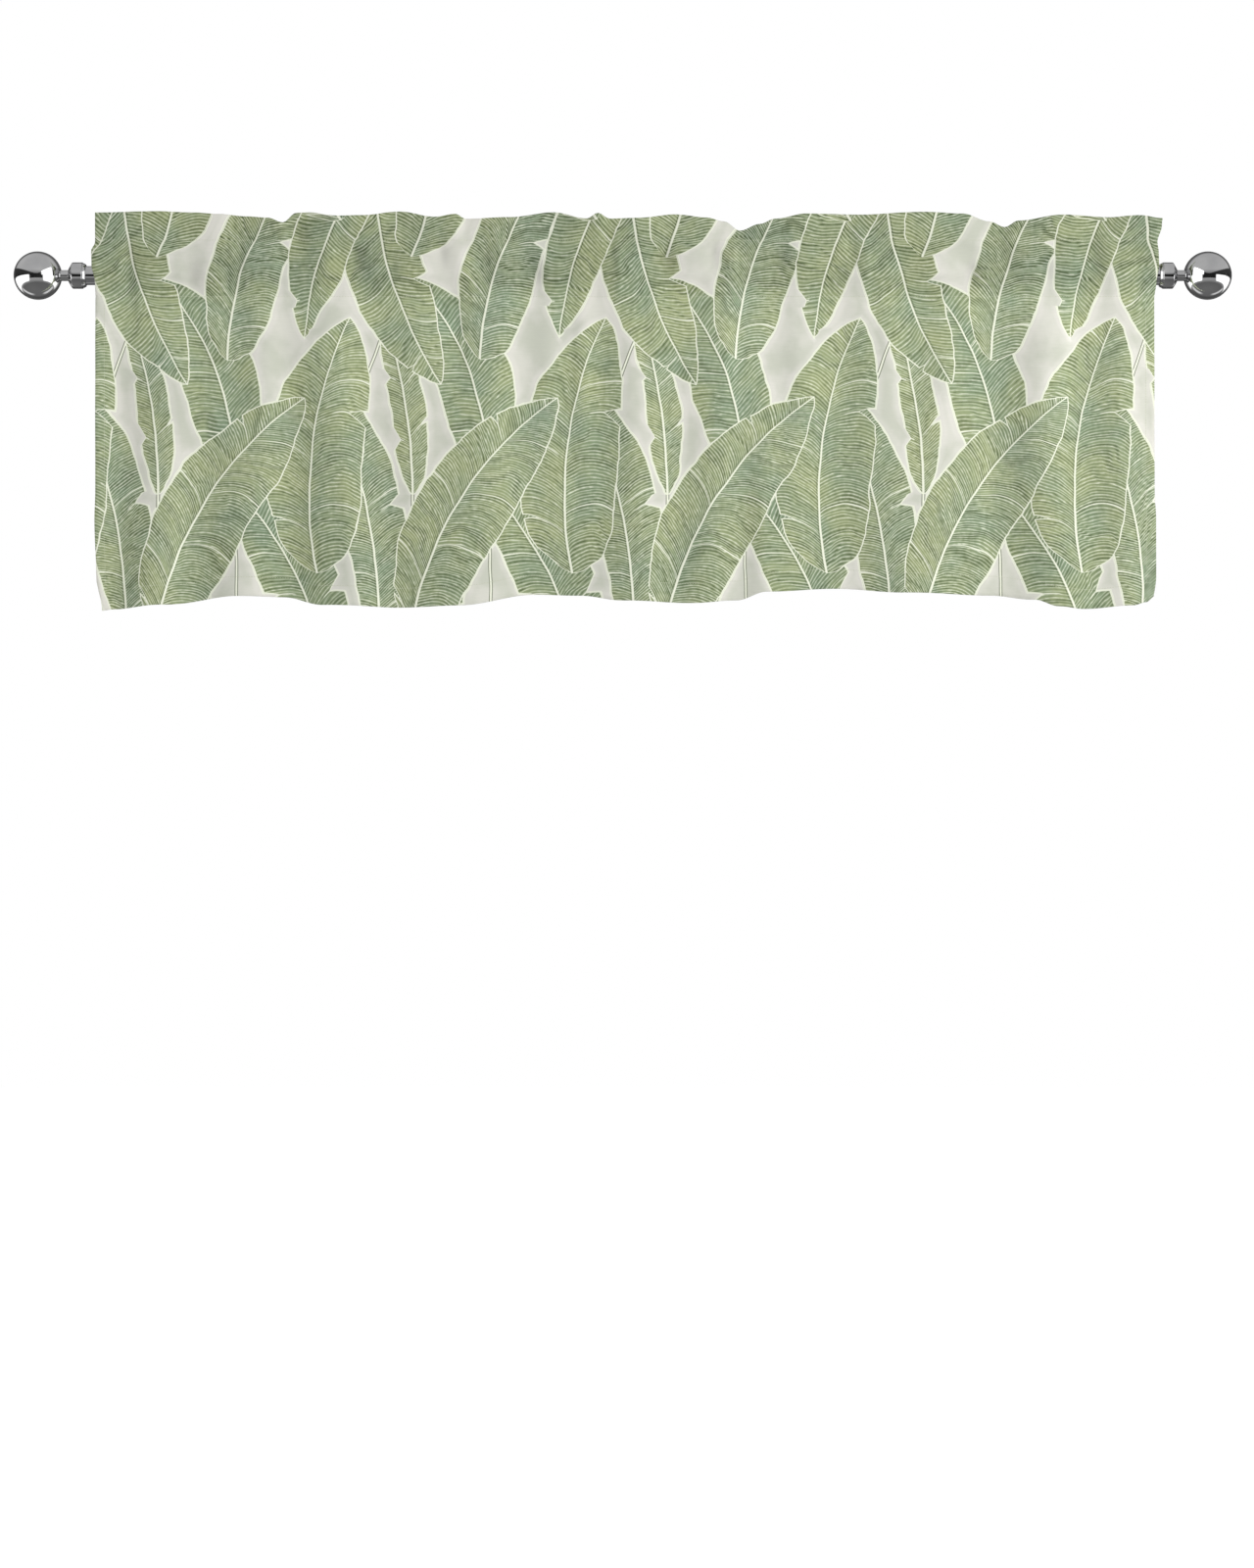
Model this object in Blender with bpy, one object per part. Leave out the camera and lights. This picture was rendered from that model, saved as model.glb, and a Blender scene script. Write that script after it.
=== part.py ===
"""Window valance with a rod pocket, hung on its curtain rod with two ball finials.

Metres, +Z up. The origin is the middle of the rod's axis. +X runs along the rod and
the printed front of the cloth faces -Y.
"""

import math
from collections import namedtuple

import bmesh
import bpy

MM = 0.001
FIT = 0.3 * MM  # the gap between pieces that touch

# The rod, a round tube, and the ball finial on each end of it.
ROD_RADIUS = 11.0 * MM
ROD_WALL = 1.2 * MM
COLLAR_NEAR = 626.0 * MM  # from the middle of the rod to the collar's inner end
COLLAR_LENGTH = 20.6 * MM
COLLAR_RADIUS = 15.3 * MM
COLLAR_END_WALL = 5.0 * MM
COLLAR_CONE = 4.8 * MM  # length of the cone that meets the neck
COLLAR_CHAMFER = 3.6 * MM  # length of the slope down to the rod
COLLAR_LIP = 1.2 * MM  # wall left at the socket's mouth
COLLAR_RIM = 0.6 * MM  # flat left round the neck's hole
NECK_RADIUS = 6.3 * MM
NECK_SHOWN = 8.6 * MM  # between the collar and the ball
BALL_RADIUS = 28.0 * MM
BALL_SOCKET = 10.0 * MM  # how far the neck goes into the ball
ROUND_SIDES = 40
BALL_RINGS = 15

# The cloth: one panel, its top turned to the back and sewn twice to make the pocket.
CLOTH_THICK = 1.2 * MM
CLOTH_LEFT = -614.0 * MM
CLOTH_RIGHT = 619.0 * MM
UPPER_SEAM = 41.0 * MM  # heights above the rod's axis
LOWER_SEAM = -25.0 * MM
POCKET_GAP = 0.6 * MM  # the pocket lies this close to the rod's front and back
HEADING_SET = 2.5 * MM  # how far forward of the rod's axis the heading stands
DROP_SET = 5.0 * MM  # and the drop, which hangs nearer the rod's front
HEM_BAND = 25.0 * MM  # depth of the turned and sewn hem
TURN_STEP = 1.5 * MM  # height over which a turned edge steps back to one layer
SEAM_HOLD = 0.35  # the share of a heading fold's depth that is left at the upper seam
DROP_START = 0.35  # the share of a gather's depth at the lower seam
DROP_FREE = 0.25  # how far down the drop the gathers reach their full depth
GATHER_FADE = 0.8  # the power with which they die out towards the hem
EDGE_REACH = 45.0 * MM  # how far in from each side the side edge's own shape fades

COLUMN_PITCH = 17.0 * MM
HEADING_ROWS = 3
POCKET_ROWS = (31, 19, 8, 3, -1, -5, -9, -16)  # heights in mm
DROP_ROWS = 6

# Heading: where each fold's crest or dip stands, in mm along the rod, how far forward it
# stands, and the height of the top edge there.
Heading = namedtuple("Heading", "x forward top")
HEADING = [
    Heading(-614, 1, 73),
    Heading(-545, 4, 74),
    Heading(-500, 0, 73),
    Heading(-471, 3, 71),
    Heading(-440, -3, 69),
    Heading(-414, 1, 67),
    Heading(-396, 4, 61),
    Heading(-381, -2, 73),
    Heading(-366, -5, 74),
    Heading(-335, 3, 69),
    Heading(-302, 0, 70),
    Heading(-261, -5, 75),
    Heading(-219, 1, 68),
    Heading(-195, 4, 71),
    Heading(-183, -2, 66),
    Heading(-132, 5, 67),
    Heading(-80, -5, 74),
    Heading(-42, 1, 66),
    Heading(-29, 4, 72),
    Heading(-15, -1, 66),
    Heading(18, 6, 66),
    Heading(62, -1, 71),
    Heading(98, 1, 67),
    Heading(118, -2, 63),
    Heading(137, -7, 53),
    Heading(160, -2, 60),
    Heading(178, 0, 66),
    Heading(214, 6, 71),
    Heading(275, -3, 71),
    Heading(350, 6, 73),
    Heading(396, 0, 72),
    Heading(428, -2, 63),
    Heading(446, -6, 57),
    Heading(462, -2, 64),
    Heading(512, 4, 70),
    Heading(568, -3, 68),
    Heading(600, 1, 70),
    Heading(619, 4, 66),
]

# Puckers: how far the cloth stands off the rod along the pocket.
Pucker = namedtuple("Pucker", "x off")
PUCKERS = [
    Pucker(-614, 2.0),
    Pucker(-574, 0.0),
    Pucker(-543, 3.5),
    Pucker(-499, 0.5),
    Pucker(-478, 2.0),
    Pucker(-458, 0.5),
    Pucker(-430, 4.0),
    Pucker(-372, 0.0),
    Pucker(-335, 4.5),
    Pucker(-303, 0.0),
    Pucker(-277, 2.5),
    Pucker(-263, 1.5),
    Pucker(-231, 4.0),
    Pucker(-210, 1.5),
    Pucker(-181, 5.0),
    Pucker(-156, 0.5),
    Pucker(-136, 2.0),
    Pucker(-108, 0.0),
    Pucker(-88, 1.5),
    Pucker(-65, 0.0),
    Pucker(-45, 2.0),
    Pucker(-28, 0.5),
    Pucker(10, 5.5),
    Pucker(60, 0.0),
    Pucker(90, 3.0),
    Pucker(111, 0.5),
    Pucker(134, 4.0),
    Pucker(185, 0.5),
    Pucker(212, 4.5),
    Pucker(248, 0.0),
    Pucker(300, 5.0),
    Pucker(346, 1.0),
    Pucker(377, 3.5),
    Pucker(403, 0.5),
    Pucker(416, 1.5),
    Pucker(450, 0.0),
    Pucker(483, 5.0),
    Pucker(503, 2.0),
    Pucker(524, 3.5),
    Pucker(549, 0.0),
    Pucker(581, 4.0),
    Pucker(606, 0.5),
    Pucker(619, 1.5),
]

# Gathers: the narrow folds that start under the rod pocket and die out down the drop.
Gather = namedtuple("Gather", "x forward")
GATHERS = [
    Gather(-614, 2),
    Gather(-579, -6),
    Gather(-520, 5),
    Gather(-449, -5),
    Gather(-417, 3),
    Gather(-387, -6),
    Gather(-339, 6),
    Gather(-294, -6),
    Gather(-244, 4),
    Gather(-207, -4),
    Gather(-148, 6),
    Gather(-110, -3),
    Gather(-86, 1),
    Gather(-64, -3),
    Gather(-47, 2),
    Gather(-26, -5),
    Gather(16, 7),
    Gather(75, -5),
    Gather(139, 7),
    Gather(179, -3),
    Gather(206, 4),
    Gather(250, -4),
    Gather(294, 6),
    Gather(343, -3),
    Gather(380, 5),
    Gather(441, -7),
    Gather(494, 6),
    Gather(544, -4),
    Gather(590, 6),
    Gather(619, 2),
]

# Folds: the broader folds that grow towards the hem.
Fold = namedtuple("Fold", "x forward")
FOLDS = [
    Fold(-614, 3),
    Fold(-590, -6),
    Fold(-547, 7),
    Fold(-492, -7),
    Fold(-440, 7),
    Fold(-384, -8),
    Fold(-310, 8),
    Fold(-266, -8),
    Fold(-174, 9),
    Fold(-62, -9),
    Fold(28, 6),
    Fold(64, -1),
    Fold(106, 7),
    Fold(143, 1),
    Fold(173, 7),
    Fold(266, -8),
    Fold(345, 8),
    Fold(446, -9),
    Fold(518, 8),
    Fold(553, 1),
    Fold(592, 8),
    Fold(619, 4),
]

# Hem: how far below the rod's axis the hem line hangs.
Hem = namedtuple("Hem", "x drop")
HEM = [
    Hem(-614, 391),
    Hem(-596, 389),
    Hem(-536, 384),
    Hem(-450, 374),
    Hem(-395, 375),
    Hem(-350, 384),
    Hem(-260, 387),
    Hem(-190, 385),
    Hem(-100, 372),
    Hem(-50, 373),
    Hem(0, 379),
    Hem(84, 382),
    Hem(132, 379),
    Hem(168, 369),
    Hem(250, 365),
    Hem(330, 370),
    Hem(430, 373),
    Hem(480, 378),
    Hem(508, 386),
    Hem(536, 389),
    Hem(594, 385),
    Hem(612, 381),
    Hem(619, 375),
]

# Side edges: how far each edge stands out past its straight line, by height.
Edge = namedtuple("Edge", "z left right")
EDGES = [
    Edge(-392, -8, -3),
    Edge(-350, -1, 2),
    Edge(-285, 1, 2),
    Edge(-250, 0, 0),
    Edge(-30, 0, 0),
    Edge(-8, 0, 2),
    Edge(12, 4, 5),
    Edge(28, 5, 5),
    Edge(38, 1, 4),
    Edge(58, 1, 9),
    Edge(75, 1, 11),
]

Finish = namedtuple("Finish", "name color roughness metallic")
CHROME = Finish("chrome", (0.55, 0.55, 0.56, 1.0), 0.12, 1.0)
PRINTED_CLOTH = Finish("printed_cloth", (0.43, 0.50, 0.33, 1.0), 0.85, 0.0)


def clear_scene():
    for obj in list(bpy.data.objects):
        bpy.data.objects.remove(obj, do_unlink=True)


def material_for(finish):
    known = bpy.data.materials.get(finish.name)
    if known:
        return known
    material = bpy.data.materials.new(finish.name)
    material.use_nodes = True
    shader = material.node_tree.nodes["Principled BSDF"]
    shader.inputs["Base Color"].default_value = finish.color
    shader.inputs["Roughness"].default_value = finish.roughness
    shader.inputs["Metallic"].default_value = finish.metallic
    return material


def add_object(name, mesh, finish):
    obj = bpy.data.objects.new(name, mesh)
    bpy.context.scene.collection.objects.link(obj)
    mesh.materials.append(material_for(finish))
    return obj


def turned_mesh(name, profile):
    """Turns a closed or axis-to-axis profile of (along, radius) points about the X axis."""
    on_axis = [radius < 1e-9 for _, radius in profile]
    is_ring = not any(on_axis)
    bm = bmesh.new()
    rings = []
    for (along, radius), is_pole in zip(profile, on_axis):
        if is_pole:
            rings.append([bm.verts.new((along, 0.0, 0.0))] * ROUND_SIDES)
            continue
        angles = [2.0 * math.pi * side / ROUND_SIDES for side in range(ROUND_SIDES)]
        rings.append(
            [bm.verts.new((along, radius * math.cos(a), radius * math.sin(a))) for a in angles]
        )
    following = rings[1:] + rings[:1] if is_ring else rings[1:]
    for ring, after in zip(rings, following):
        for side in range(ROUND_SIDES):
            beside = (side + 1) % ROUND_SIDES
            corners = (ring[side], ring[beside], after[beside], after[side])
            bm.faces.new(dict.fromkeys(corners))
    bmesh.ops.recalc_face_normals(bm, faces=bm.faces)
    mesh = bpy.data.meshes.new(name)
    bm.to_mesh(mesh)
    bm.free()
    mesh.shade_smooth()
    mesh.set_sharp_from_angle(angle=math.radians(25.0))
    return mesh


def rod():
    half = COLLAR_NEAR + COLLAR_LENGTH - COLLAR_END_WALL - FIT
    bore = ROD_RADIUS - ROD_WALL
    profile = [(-half, bore), (-half, ROD_RADIUS), (half, ROD_RADIUS), (half, bore)]
    add_object("rod", turned_mesh("rod", profile), CHROME)


def collar_profile():
    """The cap on the rod's end, from its inner end at 0 out to the neck."""
    socket = ROD_RADIUS + FIT
    neck_hole = NECK_RADIUS + FIT
    floor = COLLAR_LENGTH - COLLAR_END_WALL
    return [
        (0.0, socket),
        (0.0, socket + COLLAR_LIP),
        (COLLAR_CHAMFER, COLLAR_RADIUS),
        (COLLAR_LENGTH - COLLAR_CONE, COLLAR_RADIUS),
        (COLLAR_LENGTH, neck_hole + COLLAR_RIM),
        (COLLAR_LENGTH, neck_hole),
        (floor, neck_hole),
        (floor, socket),
    ]


def ball_profile():
    """A sphere about 0 with the neck's socket in its inner side."""
    hole = NECK_RADIUS + FIT
    mouth_angle = math.asin(hole / BALL_RADIUS)
    mouth = -BALL_RADIUS * math.cos(mouth_angle)
    points = [(mouth + BALL_SOCKET, 0.0), (mouth + BALL_SOCKET, hole), (mouth, hole)]
    for ring in range(1, BALL_RINGS):
        angle = mouth_angle + (math.pi - mouth_angle) * ring / BALL_RINGS
        points.append((-BALL_RADIUS * math.cos(angle), BALL_RADIUS * math.sin(angle)))
    points.append((BALL_RADIUS, 0.0))
    return points


def finial(side_name, direction):
    """The collar, neck and ball on one end. A direction of -1 turns them to the left."""
    collar_end = COLLAR_NEAR + COLLAR_LENGTH
    hole = NECK_RADIUS + FIT
    ball_mouth = BALL_RADIUS * math.cos(math.asin(hole / BALL_RADIUS))
    ball_centre = collar_end + NECK_SHOWN + ball_mouth
    neck_start = collar_end - COLLAR_END_WALL
    neck_end = collar_end + NECK_SHOWN + BALL_SOCKET - FIT
    neck_profile = [
        (0.0, 0.0),
        (0.0, NECK_RADIUS),
        (neck_end - neck_start, NECK_RADIUS),
        (neck_end - neck_start, 0.0),
    ]
    for name, profile, place in (
        ("collar", collar_profile(), COLLAR_NEAR),
        ("neck", neck_profile, neck_start),
        ("ball", ball_profile(), ball_centre),
    ):
        node = f"{name}_{side_name}"
        obj = add_object(node, turned_mesh(node, profile), CHROME)
        obj.location.x = direction * place
        obj.rotation_euler.z = 0.0 if direction > 0 else math.pi


def between(rows, key, column, at):
    """The value of a table's column at a place, eased between its rows as a fold is."""
    if at <= getattr(rows[0], key) * MM:
        return getattr(rows[0], column) * MM
    for low, high in zip(rows, rows[1:]):
        start, end = getattr(low, key) * MM, getattr(high, key) * MM
        if at <= end:
            share = (at - start) / (end - start)
            eased = 0.5 - 0.5 * math.cos(math.pi * share)
            first, last = getattr(low, column), getattr(high, column)
            return (first + (last - first) * eased) * MM
    return getattr(rows[-1], column) * MM


def top_edge(x):
    return between(HEADING, "x", "top", x)


def hem_edge(x):
    return -between(HEM, "x", "drop", x)


def heading_forward(x, z):
    """How far the heading stands forward: held at the seam, free at its top edge."""
    share = (z - UPPER_SEAM) / (top_edge(x) - UPPER_SEAM)
    hold = SEAM_HOLD + (1.0 - SEAM_HOLD) * share
    return HEADING_SET + between(HEADING, "x", "forward", x) * hold


def drop_forward(x, z):
    """How far the drop stands forward: gathers at the pocket turn into folds at the hem."""
    share = min(max((LOWER_SEAM - z) / (LOWER_SEAM - hem_edge(x)), 0.0), 1.0)
    gather = DROP_START + (1.0 - DROP_START) * min(share / DROP_FREE, 1.0)
    gather *= (1.0 - share) ** GATHER_FADE
    return (
        DROP_SET
        + between(GATHERS, "x", "forward", x) * gather
        + between(FOLDS, "x", "forward", x) * share
    )


def pocket_side(x, z, side):
    """Inside face of the pocket: round the rod, and straight from it to each seam.

    A side of 1 is the front of the pocket and -1 its back.
    """
    radius = ROD_RADIUS + POCKET_GAP
    reach = [math.sqrt(max(radius**2 - z**2, 0.0))]
    for seam, forward, up in (
        (UPPER_SEAM, heading_forward(x, UPPER_SEAM), 1.0),
        (LOWER_SEAM, drop_forward(x, LOWER_SEAM), -1.0),
    ):
        spread = math.acos(radius / math.hypot(forward, seam))
        angle = math.atan2(forward, seam) + side * up * spread
        leaves_forward, leaves_z = radius * math.sin(angle), radius * math.cos(angle)
        share = (z - leaves_z) / (seam - leaves_z)
        if share > 0.0:
            reach.append(side * (leaves_forward + (forward - leaves_forward) * share))
    return side * max(reach)


def pocket_outward(x, z, side):
    """Inside face of the pocket with the puckers, which stand away from the rod."""
    share = (z - LOWER_SEAM) / (UPPER_SEAM - LOWER_SEAM)
    stands_off = between(PUCKERS, "x", "off", x) * math.sin(math.pi * share)
    return pocket_side(x, z, side) + side * stands_off


def place(x, z, forward):
    """A point of the cloth, with the side edges drawn to their own line."""
    from_left = max(0.0, 1.0 - (x - CLOTH_LEFT) / EDGE_REACH)
    from_right = max(0.0, 1.0 - (CLOTH_RIGHT - x) / EDGE_REACH)
    left = between(EDGES, "z", "left", z)
    right = between(EDGES, "z", "right", z)
    return (x - left * from_left**2 + right * from_right**2, -forward, z)


def columns():
    """Places along the rod: each heading crest and dip, and even steps between them."""
    places = [CLOTH_LEFT]
    for low, high in zip(HEADING, HEADING[1:]):
        gap = (high.x - low.x) * MM
        steps = math.ceil(gap / COLUMN_PITCH)
        places += [low.x * MM + gap * step / steps for step in range(1, steps + 1)]
    return places


def steps_between(start, end, steps):
    return [start + (end - start) * step / steps for step in range(1, steps + 1)]


def cloth_column(bm, x):
    """One upright cut through the cloth: its front and back, and the pocket's inside."""
    top, hem = top_edge(x), hem_edge(x)
    front, back, inner_front, inner_back = [], [], [], []

    def point(z, forward):
        return bm.verts.new(place(x, z, forward))

    def pair(z, forward, ahead, behind):
        front.append(point(z, forward + ahead))
        back.append(point(z, forward - behind))

    pair(top, heading_forward(x, top), CLOTH_THICK / 2.0, CLOTH_THICK / 2.0)
    for z in steps_between(top, UPPER_SEAM, HEADING_ROWS):
        pair(z, heading_forward(x, z), CLOTH_THICK, CLOTH_THICK)
    apex = point(UPPER_SEAM, heading_forward(x, UPPER_SEAM))
    inner_front.append(apex)
    inner_back.append(apex)
    for z in (row * MM for row in POCKET_ROWS):
        ahead, behind = pocket_outward(x, z, 1.0), pocket_outward(x, z, -1.0)
        front.append(point(z, ahead + CLOTH_THICK))
        back.append(point(z, behind - CLOTH_THICK))
        inner_front.append(point(z, ahead))
        inner_back.append(point(z, behind))
    foot = point(LOWER_SEAM, drop_forward(x, LOWER_SEAM))
    inner_front.append(foot)
    inner_back.append(foot)
    pair(LOWER_SEAM, drop_forward(x, LOWER_SEAM), CLOTH_THICK, CLOTH_THICK)
    drop_top = LOWER_SEAM - TURN_STEP
    hem_top = hem + HEM_BAND
    for z in [drop_top] + steps_between(drop_top, hem_top, DROP_ROWS):
        pair(z, drop_forward(x, z), CLOTH_THICK, 0.0)
    for z in (hem_top - TURN_STEP, hem):
        pair(z, drop_forward(x, z), CLOTH_THICK, CLOTH_THICK)
    return front, back, inner_front, inner_back


def bridge(bm, first, second):
    """Faces between two runs of points, leaving out an edge that both runs share."""
    for low, high, low_after, high_after in zip(first, first[1:], second, second[1:]):
        corners = dict.fromkeys((low, high, high_after, low_after))
        if len(corners) > 2:
            bm.faces.new(corners)


def close_side(bm, column):
    """The cloth's edge at one side, with the pocket's mouth left open."""
    front, back, inner_front, inner_back = column
    first = HEADING_ROWS  # the upper seam's place in the front and back runs
    last = first + len(inner_front) - 1  # and the lower seam's
    bridge(bm, front[: first], back[: first])
    bm.faces.new(
        (front[first - 1], front[first], inner_front[0], back[first], back[first - 1])
    )
    bridge(bm, front[first : last + 1], inner_front)
    bridge(bm, back[first : last + 1], inner_back)
    bm.faces.new((front[last], inner_front[-1], back[last], back[last + 1], front[last + 1]))
    bridge(bm, front[last + 1 :], back[last + 1 :])


def valance_cloth():
    bm = bmesh.new()
    cuts = [cloth_column(bm, x) for x in columns()]
    for near, far in zip(cuts, cuts[1:]):
        for run, run_after in zip(near, far):
            bridge(bm, run, run_after)
        for end in (0, -1):
            bm.faces.new((near[0][end], near[1][end], far[1][end], far[0][end]))
    close_side(bm, cuts[0])
    close_side(bm, cuts[-1])
    bmesh.ops.recalc_face_normals(bm, faces=bm.faces)
    mesh = bpy.data.meshes.new("valance_cloth")
    bm.to_mesh(mesh)
    bm.free()
    mesh.shade_smooth()
    mesh.set_sharp_from_angle(angle=math.radians(50.0))
    add_object("valance_cloth", mesh, PRINTED_CLOTH)


def main():
    clear_scene()
    rod()
    finial("left", -1.0)
    finial("right", 1.0)
    valance_cloth()


main()
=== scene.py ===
import math

import bmesh
import bpy
import numpy as np
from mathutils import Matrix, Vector


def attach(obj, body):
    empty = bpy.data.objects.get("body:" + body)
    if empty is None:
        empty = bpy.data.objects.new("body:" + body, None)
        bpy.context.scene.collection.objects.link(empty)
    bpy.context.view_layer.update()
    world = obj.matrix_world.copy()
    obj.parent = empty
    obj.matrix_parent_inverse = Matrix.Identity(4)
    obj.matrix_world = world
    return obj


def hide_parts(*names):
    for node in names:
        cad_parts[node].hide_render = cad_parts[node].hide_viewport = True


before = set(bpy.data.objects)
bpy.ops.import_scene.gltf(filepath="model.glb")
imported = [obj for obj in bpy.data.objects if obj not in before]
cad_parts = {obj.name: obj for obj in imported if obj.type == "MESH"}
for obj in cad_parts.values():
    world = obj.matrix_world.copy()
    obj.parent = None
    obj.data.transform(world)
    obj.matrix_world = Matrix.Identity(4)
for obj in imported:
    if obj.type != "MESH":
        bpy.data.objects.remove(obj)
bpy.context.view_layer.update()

mm = 0.001
scene = bpy.context.scene


# small helpers: tables, meshes and shader sums


def table(columns, *rows):
    # a given table as one array for each named column
    values = np.array(rows, dtype=float)
    return dict(zip(columns.split(), values.T))


def held(values):
    # kept from 0 to 1
    return np.clip(values, 0.0, 1.0)


def between(rows, column, at, key="x"):
    # the table's column at a place, eased from row to row by a half cosine, as a fold runs
    places = rows[key]
    values = rows[column]
    at = np.asarray(at, dtype=float)
    spot = np.clip(np.searchsorted(places, at, side="right") - 1, 0, len(places) - 2)
    share = held((at - places[spot]) / (places[spot + 1] - places[spot]))
    eased = 0.5 - 0.5 * np.cos(np.pi * share)
    return values[spot] + (values[spot + 1] - values[spot]) * eased


def newMesh(name, points, faces, uv=None):
    # points is any array of xyz, faces a list of corner numbers, uv one pair for each point
    mesh = bpy.data.meshes.new(name)
    mesh.from_pydata(points.reshape(-1, 3).tolist(), [], faces)
    if uv is not None:
        corners = np.empty(len(mesh.loops), dtype=np.int64)
        mesh.loops.foreach_get("vertex_index", corners)
        layer = mesh.uv_layers.new(name="clothFlat")
        layer.data.foreach_set("uv", uv.reshape(-1, 2)[corners].astype(np.float32).ravel())
    mesh.validate()
    return mesh


def gridFaces(rows, columns, closeRows=False, closeColumns=False):
    # quads between neighbouring points of a grid, and across its ends where it is closed
    down = np.arange(rows if closeRows else rows - 1)[:, None]
    along = np.arange(columns if closeColumns else columns - 1)[None, :]
    nextDown = (down + 1) % rows
    nextAlong = (along + 1) % columns
    corners = ((down, along), (down, nextAlong), (nextDown, nextAlong), (nextDown, along))
    quads = np.stack([row * columns + column for row, column in corners], axis=-1)
    return quads.reshape(-1, 4).tolist()


def outwardFaces(mesh):
    # merges points that meet, as at a pole, and turns every face outwards
    work = bmesh.new()
    work.from_mesh(mesh)
    bmesh.ops.remove_doubles(work, verts=work.verts, dist=1e-6)
    bmesh.ops.recalc_face_normals(work, faces=work.faces)
    work.to_mesh(mesh)
    work.free()


def addObject(name, data):
    made = bpy.data.objects.new(name, data)
    scene.collection.objects.link(made)
    return made


def addPiece(name, mesh, materials, replaces=()):
    # a finished mesh as a piece of the model, in place of the solids it replaces
    piece = addObject(name, mesh)
    for material in materials:
        mesh.materials.append(material)
    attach(piece, "root")
    if replaces:
        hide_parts(*replaces)
    return piece


def tint(red, green, blue):
    # a colour given in 0 to 255, as the shader's linear values
    share = np.array([red, green, blue]) / 255.0
    linear = np.where(share <= 0.04045, share / 12.92, ((share + 0.055) / 1.055) ** 2.4)
    return (*linear.tolist(), 1.0)


def grey(value):
    return (value, value, value, 1.0)


class Flow:
    # one output of a shader node; an operator on it adds the Math node that works it out
    def __init__(self, tree, output=None):
        self.tree = tree
        self.output = output

    def node(self, kind, settings=None, inputs=None, result=0):
        made = self.tree.nodes.new(kind)
        for name, value in (settings or {}).items():
            if name == "points":
                curve = made.mapping.curves[0]
                for place, spot in enumerate(value):
                    if place < 2:
                        curve.points[place].location = spot
                    else:
                        curve.points.new(*spot)
                made.mapping.update()
            elif name == "stops":
                while len(made.color_ramp.elements) < len(value):
                    made.color_ramp.elements.new(0.5)
                for stop, (place, color) in zip(made.color_ramp.elements, value):
                    stop.position = place
                    stop.color = color
            else:
                setattr(made, name, value)
        for name, value in (inputs or {}).items():
            if isinstance(value, Flow):
                self.tree.links.new(value.output, made.inputs[name])
            else:
                made.inputs[name].default_value = value
        return Flow(self.tree, made.outputs[result] if made.outputs else None)

    def math(self, operation, *values):
        return self.node("ShaderNodeMath", {"operation": operation}, dict(enumerate(values)))

    def __add__(self, other):
        return self.math("ADD", self, other)

    __radd__ = __add__

    def __sub__(self, other):
        return self.math("SUBTRACT", self, other)

    def __rsub__(self, other):
        return self.math("SUBTRACT", other, self)

    def __mul__(self, other):
        return self.math("MULTIPLY", self, other)

    __rmul__ = __mul__

    def __truediv__(self, other):
        return self.math("DIVIDE", self, other)

    def __abs__(self):
        return self.math("ABSOLUTE", self)

    def atLeast(self, other):
        return self.math("MAXIMUM", self, other)

    def atMost(self, other):
        return self.math("MINIMUM", self, other)

    def ramp(self, low, high, first=0.0, last=1.0):
        # first at low, last at high, eased between and held outside; clamp stays off, as its node
        # would keep every leaf's values until the last leaf and overfill the shader
        settings = {"interpolation_type": "SMOOTHSTEP", "clamp": False}
        return self.node("ShaderNodeMapRange", settings, {0: self, 1: low, 2: high, 3: first, 4: last})

    def mix(self, first, second):
        # first where this is 0 and second where it is 1, for colours
        return self.node("ShaderNodeMix", {"data_type": "RGBA"}, {0: self, 6: first, 7: second}, 2)

    def noise(self, place, scale, detail=1.0, dimensions="3D"):
        # soft random values about 0.5
        settings = {"noise_dimensions": dimensions}
        inputs = {"Vector": place, "Scale": scale, "Detail": detail}
        return self.node("ShaderNodeTexNoise", settings, inputs)

    def other(self, result):
        # another output of the same node
        return Flow(self.tree, self.output.node.outputs[result])

    def parts(self):
        split = self.node("ShaderNodeSeparateXYZ", {}, {0: self})
        return [split, split.other(1), split.other(2)]


def emptyFlow(owner):
    # a material's or the world's shader, with nothing in it yet
    owner.use_nodes = True
    owner.node_tree.nodes.clear()
    return Flow(owner.node_tree)


def newMaterial(name):
    material = bpy.data.materials.new(name)
    return material, emptyFlow(material)


def finishMaterial(flow, inputs):
    shader = flow.node("ShaderNodeBsdfPrincipled", {}, inputs)
    flow.node("ShaderNodeOutputMaterial", {}, {"Surface": shader})


# the print: banana leaves in pale greens on an oatmeal ground

clothFinish = {
    "threadPitch": 0.00042,
    "reverse": tint(224, 224, 215),
    "fade": 0.60,  # how far the reverse is paler than the print
    "foldTone": 0.040,  # how much lighter a crest and darker a dip is painted than the mean: painted light and shade of the folds
    "inkDoubledShade": 0.12,  # painted shade: how much darker the leaves are painted where the cloth is doubled and lets less light through
    "groundDoubledShade": 0.03,  # and how much darker all the cloth is painted there, the same painted shade
}

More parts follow.
